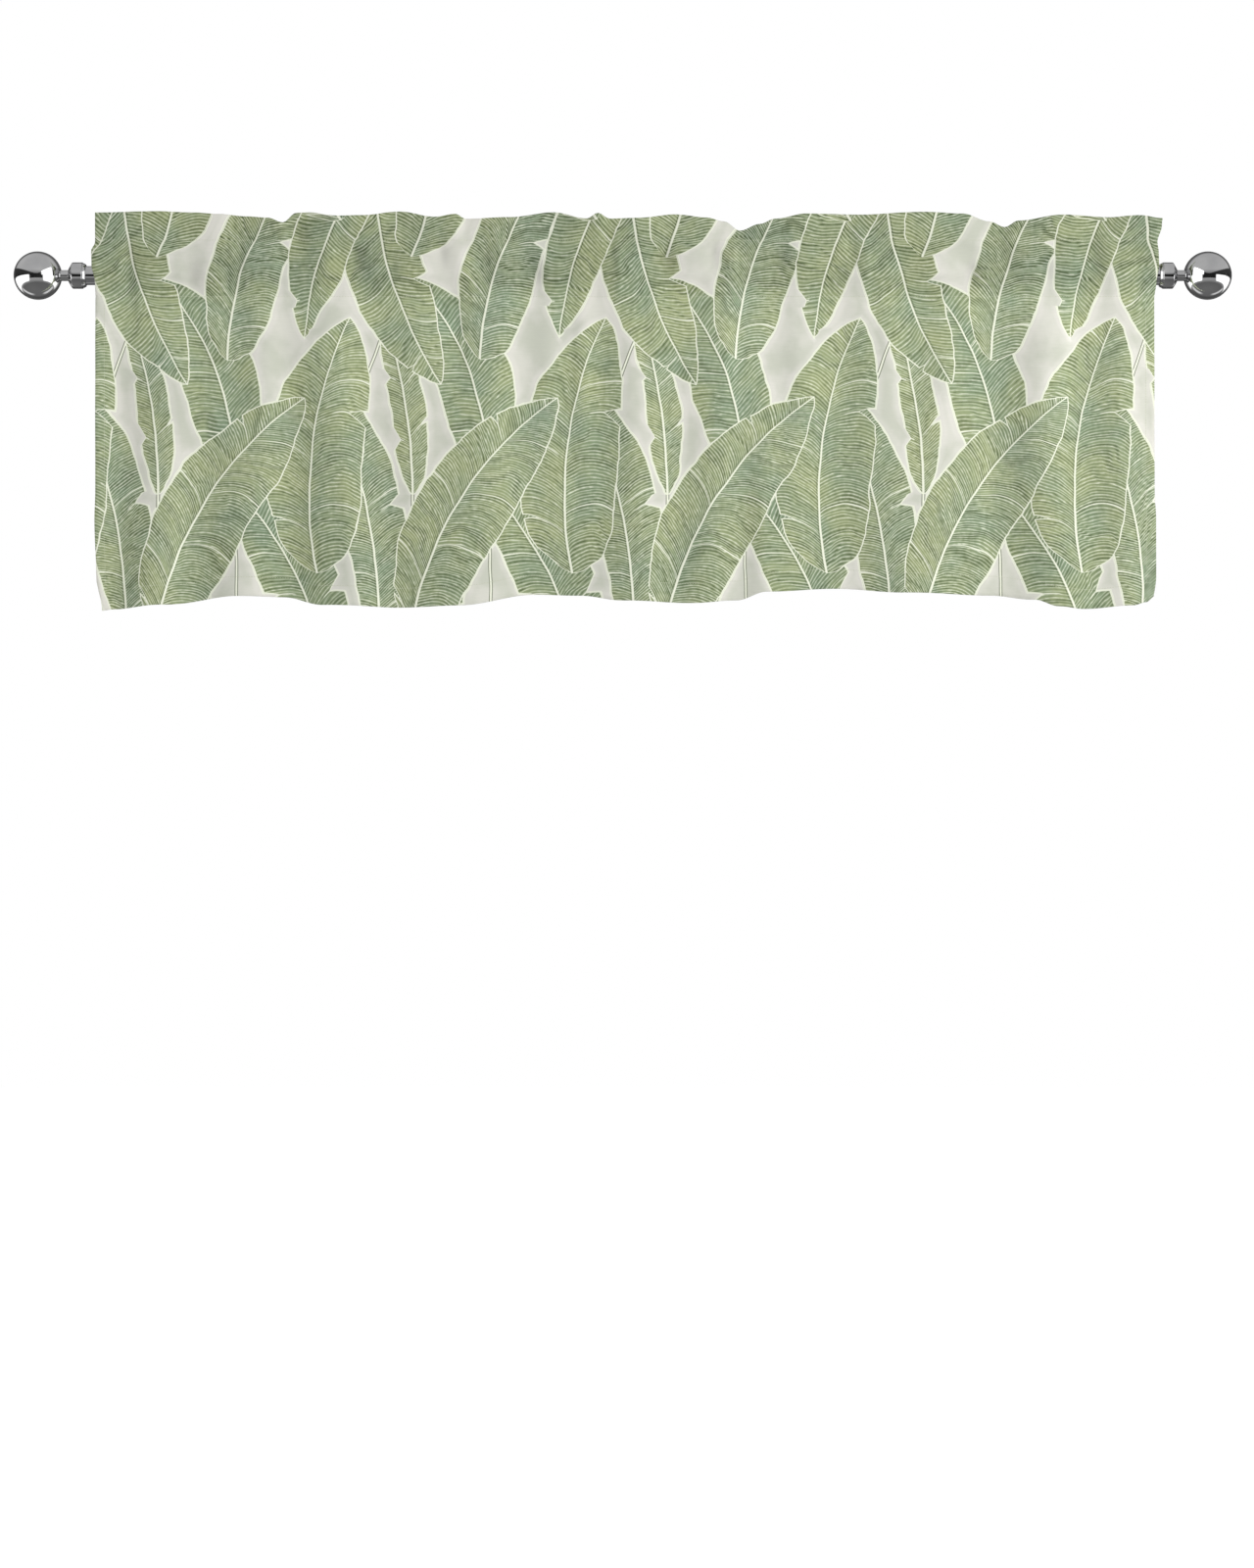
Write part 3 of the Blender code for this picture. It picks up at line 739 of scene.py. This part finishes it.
def clothGrid():
    # every row's height and place forward at every column; a layer's offset keeps the turned
    # hems and the two layers of the heading a thread apart
    x, behind = clothColumns()
    top = between(heading, "top", x)
    bottom = -between(hem, "drop", x)
    upper = np.full_like(x, cloth["upperSeam"])
    lower = np.full_like(x, cloth["lowerSeam"])
    hemTurn = cloth["hemTurn"]
    topTurn = cloth["topTurn"]
    layer = cloth["layer"]
    fromSide = np.minimum(x - cloth["left"], cloth["right"] - x)
    pad = cloth["pad"] * held((18.0 - fromSide) / 5.0)
    front = layer + pad - layer * behind
    points = []
    foldShades = []
    for stretch, share in clothRows():
        if stretch in ("band", "hemFold", "hemFront"):
            rise = {"band": cloth["hemBand"], "hemFold": 0.0, "hemFront": cloth["hemStitch"]}[stretch]
            z = bottom + hemTurn + rise * (share if stretch == "hemFront" else 1.0 - share)
            z = z - hemTurn * (stretch == "hemFold")
            band = -4.0 * pad + layer * behind
            offset = {"band": band, "hemFold": 0.5 * (band + front), "hemFront": front}[stretch]
            forward = dropForward(x, z) + relief(x, z, "drop") + offset
        elif stretch == "drop":
            z = bottom + hemTurn + cloth["hemStitch"]
            z = z + (lower - z) * share
            forward = dropForward(x, z) + relief(x, z, "drop") + front - pinchAt(z, lower)
        elif stretch == "pocketFront":
            z = lower + (upper - lower) * share
            swell = np.sin(np.pi * share)
            slack = between(puckers, "off", x) * swell
            outward = np.maximum(relief(x, z, "pocket") + 0.6 * swell, -0.8 * slack)
            outward = front - pinchAt(z, lower) - pinchAt(z, upper) + outward
            forward = pocketForward(x, z, 1.0) + outward
        elif stretch == "pocketBack":
            z = lower + (upper - lower) * (1.0 - share)
            outward = np.abs(relief(x + 40.0, z, "pocket"))
            outward = front - pinchAt(z, lower) - pinchAt(z, upper) + outward
            forward = pocketForward(x, z, -1.0) - outward
        elif stretch in ("headingFront", "topFold", "headingBack"):
            way = {"headingFront": share, "topFold": 1.0, "headingBack": 1.0 - share}[stretch]
            z = upper + (top - topTurn - upper) * way + topTurn * (stretch == "topFold")
            side = {"headingFront": 1.0, "topFold": 0.0, "headingBack": -1.0}[stretch]
            forward = headingForward(x, z) + relief(x, z, "heading") + side * (front - pinchAt(z, upper))
        else:
            z = lower - cloth["tab"] * share
            forward = dropForward(x, z) - cloth["pinch"] - 0.4 * share - pad + layer * behind
        points.append(drawnPlace(x, z, forward))
        foldShades.append(foldTone(x, z, stretch))
    return np.array(points), np.array(foldShades)


def flatPlaces(points, rowNames):
    # where each point lies on the cloth before it was hung, in metres: its share of the length
    # along a row, the mean of all rows, times the cut width, and the length up its column from
    # the lower seam
    steps = np.linalg.norm(np.diff(points, axis=1), axis=2)
    along = np.concatenate([np.zeros((len(points), 1)), np.cumsum(steps, axis=1)], axis=1)
    turned = 2.0 * cloth["sideHem"] * mm
    along = np.mean(along / along[:, -1:], axis=0) * (cloth["flatWidth"] * mm + turned) - turned / 2.0
    along = np.broadcast_to(along, points.shape[:2])
    rises = np.linalg.norm(np.diff(points, axis=0), axis=2)
    up = np.concatenate([np.zeros((1, points.shape[1])), np.cumsum(rises, axis=0)], axis=0)
    seamRow = max(row for row, name in enumerate(rowNames) if name == "drop")
    up = up - up[seamRow : seamRow + 1]
    return np.stack([along, up], axis=-1)


rowNames = [name for name, _ in clothRows()]
clothPoints, clothFoldShade = clothGrid()
clothFlat = flatPlaces(clothPoints, rowNames)
clothMesh = newMesh("valanceCloth", clothPoints, gridFaces(*clothPoints.shape[:2]), clothFlat)
# the folds' painted light and shade, kept on each point for the cloth's base colour
foldShadeLayer = clothMesh.attributes.new("foldTone", "FLOAT", "POINT")
foldShadeLayer.data.foreach_set("value", clothFoldShade.astype(np.float32).ravel())
clothMesh.shade_smooth()
valanceCloth = addPiece("valanceCloth", clothMesh, [printedCloth, clothReverse], ["valance_cloth"])
thickness = valanceCloth.modifiers.new("thickness", "SOLIDIFY")
thickness.thickness = cloth["thickness"] * mm
thickness.offset = 0.0
thickness.material_offset = 1
print("cloth made:", len(clothMesh.polygons), "faces")


# chrome, in mm: the rod and a collar, neck and ball on each end

chromeSize = {
    "rodRadius": 11.0,
    "rodWall": 1.2,
    "collarNear": 626.0,
    "collarLength": 20.6,
    "collarRadius": 15.3,
    "collarWall": 5.0,
    "collarCone": 4.8,
    "collarChamfer": 3.6,
    "neckRadius": 6.3,
    "neckShown": 8.6,
    "ballRadius": 28.0,
    "ballSocket": 10.0,
    "fit": 0.3,
    "sides": 112,
}


def chromeMaterial():
    # polished plating: a hard mirror, hazed a little by wiping marks and a fine ripple
    material, flow = newMaterial("chrome")
    place = flow.node("ShaderNodeTexCoord", {}, {}, 3)
    haze = flow.noise(place, 45.0, 3.0)
    wiped = flow.node("ShaderNodeMapping", {}, {"Vector": place, "Scale": (60.0, 900.0, 900.0)})
    marks = flow.noise(wiped, 1.0, 2.0)
    swell = flow.noise(place, 70.0)
    color = haze.ramp(0.3, 0.7).mix(tint(198, 198, 199), tint(211, 211, 211))
    rough = haze.ramp(0.35, 0.7, 0.05, 0.10) + marks.ramp(0.5, 0.8, 0.0, 0.05)
    bump = flow.node("ShaderNodeBump", {}, {"Strength": 0.15, "Distance": 0.0004, "Height": swell})
    finishMaterial(flow, {"Base Color": color, "Metallic": 1.0, "Roughness": rough, "Normal": bump})
    return material


def rounded(corners, steps=5):
    # a profile with its corners rounded: each corner gives its place along, its radius out and
    # the size of its round, a quadratic curve between the points that far off on its two sides
    corners = np.array(corners, dtype=float)
    path = []
    for number, (along, out, size) in enumerate(corners):
        here = np.array([along, out])
        if size == 0.0:
            path.append(here)
            continue
        before = corners[number - 1, :2] - here
        after = corners[(number + 1) % len(corners), :2] - here
        start = here + before / np.linalg.norm(before) * size
        end = here + after / np.linalg.norm(after) * size
        for share in np.linspace(0, 1, steps):
            path.append(start * (1 - share) ** 2 + here * 2 * share * (1 - share) + end * share**2)
    return np.array(path)


def turnedPoints(profile, direction, start):
    # the profile carried round the X axis: out * cos and out * sin of each side's angle
    angles = np.linspace(0.0, 2.0 * np.pi, chromeSize["sides"], endpoint=False)
    along = direction * (start + profile[:, :1]) + 0.0 * angles[None, :]
    depth = profile[:, 1:] * np.cos(angles)[None, :]
    height = profile[:, 1:] * np.sin(angles)[None, :]
    return np.stack([along, depth, height], axis=-1) * mm


def turnedPiece(name, profile, direction, start, node, ring=True):
    # a ring profile closes on itself; any other starts and ends on the axis
    points = turnedPoints(profile, direction, start)
    mesh = newMesh(name, points, gridFaces(*points.shape[:2], ring, True))
    outwardFaces(mesh)
    mesh.shade_smooth()
    mesh.set_sharp_from_angle(angle=math.radians(35.0))
    return addPiece(name, mesh, [chrome], [node])


def rodProfile():
    # a tube's wall, from end to end
    size = chromeSize
    half = size["collarNear"] + size["collarLength"] - size["collarWall"] - size["fit"]
    radius = size["rodRadius"]
    bore = radius - size["rodWall"]
    return rounded([(-half, bore, 0.2), (-half, radius, 0.4), (half, radius, 0.4), (half, bore, 0.2)], 4)


def collarProfile():
    # from the mouth over the slope, a turned groove, the barrel and the steep cone to the neck
    size = chromeSize
    socket = size["rodRadius"] + size["fit"]
    hole = size["neckRadius"] + size["fit"]
    length = size["collarLength"]
    barrel = size["collarRadius"]
    slope = size["collarChamfer"]
    floor = length - size["collarWall"]
    return rounded([
        (0.0, socket, 0.15), (0.0, socket + 1.6, 0.5), (slope - 0.9, barrel - 0.9, 0.3),
        (slope - 0.5, barrel - 1.15, 0.15), (slope, barrel - 1.15, 0.15), (slope + 0.3, barrel, 0.25),
        (length - size["collarCone"], barrel, 1.1), (length - 0.3, hole + 1.3, 0.5),
        (length, hole + 0.5, 0.2), (length, hole, 0.15), (floor, hole, 0.1), (floor, socket, 0.2),
    ])


def neckProfile(reach):
    # a plain stud, solid to its axis, that ends inside the collar and inside the ball
    radius = chromeSize["neckRadius"]
    return rounded([(0.0, 0.0, 0.0), (0.0, radius, 0.3), (reach, radius, 0.3), (reach, 0.0, 0.0)], 4)


def ballProfile():
    # the socket's floor and wall, a small round at its mouth, then the sphere to its far pole
    size = chromeSize
    radius = size["ballRadius"]
    hole = size["neckRadius"] + size["fit"]
    mouthAngle = math.asin((hole + 0.5) / radius)
    angles = np.linspace(mouthAngle, math.pi, 90)
    shell = np.stack([-radius * np.cos(angles), radius * np.sin(angles)], axis=-1)
    shell[-1, 1] = 0.0
    mouth = -radius * math.cos(math.asin(hole / radius))
    floor = mouth + size["ballSocket"]
    socket = np.array([[floor, 0.0], [floor, hole], [mouth + 0.7, hole], [mouth + 0.15, hole + 0.1]])
    return np.concatenate([socket, shell])


chrome = chromeMaterial()
rod = turnedPiece("curtainRod", rodProfile(), 1.0, 0.0, "rod")
size = chromeSize
collarStart = size["collarNear"]
collarEnd = collarStart + size["collarLength"]
neckStart = collarEnd - size["collarWall"]
neckReach = size["collarWall"] + size["neckShown"] + size["ballSocket"] - size["fit"]
mouthSine = (size["neckRadius"] + size["fit"]) / size["ballRadius"]
ballMiddle = collarEnd + size["neckShown"] + size["ballRadius"] * math.cos(math.asin(mouthSine))
for sideName, direction in (("left", -1.0), ("right", 1.0)):
    end = sideName.title()
    turnedPiece("collar" + end, collarProfile(), direction, collarStart, "collar_" + sideName)
    turnedPiece("neck" + end, neckProfile(neckReach), direction, neckStart, "neck_" + sideName, False)
    turnedPiece("ball" + end, ballProfile(), direction, ballMiddle, "ball_" + sideName, False)
print("rod and finials made")


# stitching, in mm: a row along each seam, on both faces

stitch = {
    "pitch": 3.1,
    "long": 2.5,
    "radius": 0.26,
    "sides": 6,
    "sink": 0.05,  # how far its middle lies under the top of the cloth
}


def threadMaterial():
    # matt sewing thread with a fine twist across each stitch
    material, flow = newMaterial("sewingThread")
    place = flow.node("ShaderNodeTexCoord", {}, {}, 3)
    twist = flow.noise(place, 2400.0)
    color = twist.ramp(0.3, 0.7).mix(tint(178, 186, 158), tint(208, 210, 190))
    bump = flow.node("ShaderNodeBump", {}, {"Strength": 0.3, "Distance": 0.0001, "Height": twist})
    finishMaterial(flow, {"Base Color": color, "Roughness": 0.7, "Normal": bump})
    return material


def carried(values, lengths, places):
    # rows of xyz along a line, read off at the places along it
    return np.stack([np.interp(places, lengths, values[:, axis]) for axis in range(3)], axis=-1)


def stitchesAlong(path, outward):
    # even stitches on a line of points: each is a six-sided bead drawn out along the line, its
    # rings at the ends small and its middle full
    lengths = np.concatenate([[0.0], np.cumsum(np.linalg.norm(np.diff(path, axis=0), axis=1))])
    middles = np.arange(stitch["pitch"], lengths[-1] / mm - stitch["pitch"], stitch["pitch"]) * mm
    centre = carried(path, lengths, middles)
    ahead = carried(path, lengths, middles + 0.001) - centre
    ahead = ahead / np.linalg.norm(ahead, axis=1, keepdims=True)
    lift = carried(outward, lengths, middles)
    lift = lift - ahead * np.sum(lift * ahead, axis=1, keepdims=True)
    lift = lift / np.linalg.norm(lift, axis=1, keepdims=True)
    across = np.cross(ahead, lift)
    centre = centre + lift * (cloth["thickness"] / 2 - stitch["sink"]) * mm
    angles = np.linspace(0.0, 2.0 * np.pi, stitch["sides"], endpoint=False)[None, :, None]
    around = np.cos(angles) * across[:, None, :] + np.sin(angles) * lift[:, None, :]
    rings = []
    for place, size in ((-0.5, 0.12), (-0.34, 0.92), (0.34, 0.92), (0.5, 0.12)):
        drop = -0.35 * (abs(place) > 0.4)
        spine = centre + ahead * place * stitch["long"] * mm + lift * drop * stitch["radius"] * mm
        rings.append(spine[:, None, :] + around * size * stitch["radius"] * mm)
    return np.stack(rings, axis=1)


def stitchPiece(name, lines):
    # all the stitches of one seam as one mesh, each bead's ends closed by a six-sided face
    beads = np.concatenate([stitchesAlong(path, outward) for path, outward in lines])
    sides = stitch["sides"]
    first = 4 * sides * np.arange(len(beads))[:, None, None]
    around = np.array(gridFaces(4, sides, False, True))
    caps = np.array([np.arange(sides)[::-1], np.arange(3 * sides, 4 * sides)])
    quads = (around[None, :, :] + first).reshape(-1, 4).tolist()
    ends = (caps[None, :, :] + first).reshape(-1, sides).tolist()
    mesh = newMesh(name, beads, quads + ends)
    outwardFaces(mesh)
    mesh.shade_smooth()
    return addPiece(name, mesh, [thread])


def gridNormals(points):
    # outward at each point: the columns' direction crossed with the rows'
    alongRow = np.gradient(points, axis=1)
    alongColumn = np.gradient(points, axis=0)
    outward = np.cross(alongRow, alongColumn)
    return outward / np.maximum(np.linalg.norm(outward, axis=2, keepdims=True), 1e-12)


thread = threadMaterial()
outward = gridNormals(clothPoints)
firstRow = {name: rowNames.index(name) for name in set(rowNames)}
lastRow = {name: row for row, name in enumerate(rowNames)}
inner = slice(6, -6)  # the columns between the two side edges


def seamLine(row):
    # a row of the cloth as a line to sew, with the way outward at each point
    return clothPoints[row, inner], outward[row, inner]


dropRows = slice(lastRow["hemFront"], lastRow["drop"] - 1)
sewn = {
    "upperSeamStitches": [seamLine(lastRow["pocketFront"]), seamLine(lastRow["headingBack"])],
    "lowerSeamStitches": [seamLine(lastRow["drop"]), seamLine(lastRow["pocketBack"])],
    "hemStitches": [seamLine(lastRow["hemFront"]), seamLine(firstRow["band"] + 1)],
    "sideHemStitches": [(clothPoints[dropRows, side], outward[dropRows, side]) for side in (1, 8, -2, -9)],
}
upperStitches, lowerStitches, hemStitches, sideStitches = [
    stitchPiece(name, lines) for name, lines in sewn.items()
]
print("stitching made")


# floor, studio light and camera, in metres and watts

studio = {
    "floorHeight": -2.05,
    "floorHalf": 14.0,
    "sky": 0.715,  # light from all round on the cloth
    "key": 76.0,
    "fill": 5.0,
    "back": 60.0,
    "floorGlow": 0.42,  # lifts the floor to the white of the backdrop
    "lit": (0.0, 0.0, -0.15),
    "card": (0.10, 1.40, -0.02, 0.42),  # its near, far, low and high sides
    "cardPower": 4.0,
    "cameraFar": 4.5,
    "cameraRight": 0.005,
    "cameraHeight": -0.593,
    "frameHeight": 1.829,
}


def buildFloor():
    material, flow = newMaterial("paleFloor")
    place = flow.node("ShaderNodeTexCoord", {}, {}, 3)
    grain = flow.noise(place, 2.0, 2.0)
    color = grain.ramp(0.3, 0.7).mix(grey(0.90), grey(0.93))
    glow = {"Emission Color": grey(1.0), "Emission Strength": studio["floorGlow"]}
    finishMaterial(flow, {"Base Color": color, "Roughness": 0.9, **glow})
    half = studio["floorHalf"]
    low = studio["floorHeight"]
    corners = [[-half, -half, low], [half, -half, low], [half, half, low], [-half, half, low]]
    mesh = newMesh("floor", np.array(corners), [(0, 1, 2, 3)])
    mesh.materials.append(material)
    floor = addObject("floor", mesh)
    floor.visible_glossy = False  # the chrome mirrors the darker room instead
    floor.visible_diffuse = False


def buildWorld():
    # what the lens sees is white, what lights the cloth is even, and what the chrome mirrors is a
    # room: grey ceiling, dark line at eye level that widens to both sides, a bright panel under
    # it on each side, dark floor with a lit strip towards its back, and dark behind
    world = bpy.data.worlds.new("studio")
    flow = emptyFlow(world)
    way = flow.node("ShaderNodeTexCoord", {}, {}, 0)
    right, back, up = way.parts()
    level = up * 0.5 + 0.5
    greys = [
        (0.0, 0.20), (0.19, 0.16), (0.235, 0.32), (0.34, 0.52), (0.365, 0.02),
        (0.53, 0.02), (0.56, 0.34), (0.70, 0.62), (1.0, 0.58),
    ]
    stops = [(place, grey(value)) for place, value in greys]
    aside = abs(right)
    room = flow.node("ShaderNodeValToRGB", {"stops": stops}, {"Fac": level})
    panel = aside.ramp(0.50, 0.60) * up.ramp(-0.52, -0.44) * up.ramp(-0.04, 0.01, 1.0, 0.0)
    shade = (up - aside * 0.34).ramp(0.02, 0.07, 1.0, 0.0) * up.ramp(-0.02, 0.02) * aside.ramp(0.1, 0.2)
    room = (shade * 0.95).mix(room, grey(0.025))
    room = panel.mix(room, grey(2.2))
    strip = back.ramp(0.22, 0.30) * back.ramp(0.42, 0.50, 1.0, 0.0) * up.ramp(-0.5, -0.62)
    strip = strip * aside.ramp(0.15, 0.4)
    room = strip.mix(room, grey(0.9))
    room = back.ramp(0.46, 0.76, 0.0, 0.90).mix(room, grey(0.08))
    rays = flow.node("ShaderNodeLightPath")
    glossy = rays.other("Is Glossy Ray")
    seen = rays.other("Is Camera Ray")
    sky = studio["sky"]
    light = glossy.mix((sky, sky, sky * 1.01, 1.0), room)
    light = seen.mix(light, grey(1.0))
    background = flow.node("ShaderNodeBackground", {}, {"Color": light, "Strength": 1.0})
    flow.node("ShaderNodeOutputWorld", {}, {"Surface": background})
    scene.world = world


def addLight(name, shape, size, power, place, turn):
    lamp = bpy.data.lights.new(name, "AREA")
    lamp.shape = shape
    lamp.size, lamp.size_y = size
    lamp.energy = power
    light = addObject(name, lamp)
    light.location = place
    light.rotation_euler = turn
    return light


def softLight(name, place, width, power):
    # a round soft light that faces the cloth and lights it, and isn't mirrored
    turn = (Vector(studio["lit"]) - Vector(place)).to_track_quat("-Z", "Y").to_euler()
    light = addLight(name, "DISK", (width, width), power, place, turn)
    light.data.color = (1.0, 0.99, 0.97)
    light.visible_glossy = False


def cardLight(name, side):
    # a lit card end on to the lens, in front of the middle of the rod, that shines to one side:
    # that side's ball mirrors it on its inner half, and nothing else sees it
    near, far, low, high = studio["card"]
    place = (0.0, -(far + near) / 2, (high + low) / 2)
    turn = (math.radians(90.0), 0.0, math.radians(-90.0 * side))
    light = addLight(name, "RECTANGLE", (far - near, high - low), studio["cardPower"], place, turn)
    light.visible_camera = False
    light.visible_diffuse = False


def buildCamera():
    lens = bpy.data.cameras.new("photoView")
    lens.sensor_width = 36.0
    lens.lens = 36.0 * studio["cameraFar"] / studio["frameHeight"]
    lens.clip_end = 60.0
    camera = addObject("photoView", lens)
    camera.location = (studio["cameraRight"], -studio["cameraFar"], studio["cameraHeight"])
    camera.rotation_euler = (math.radians(90.0), 0.0, 0.0)
    scene.camera = camera


buildFloor()
buildWorld()
cardLight("cardLeft", -1.0)
cardLight("cardRight", 1.0)
softLight("key", (3.0, -2.5, 0.35), 1.0, studio["key"])
softLight("fill", (-2.8, -3.0, 0.4), 2.0, studio["fill"])
softLight("back", (-2.6, 3.0, 1.2), 1.5, studio["back"])
buildCamera()
scene.view_settings.view_transform = "Standard"
print("studio made")
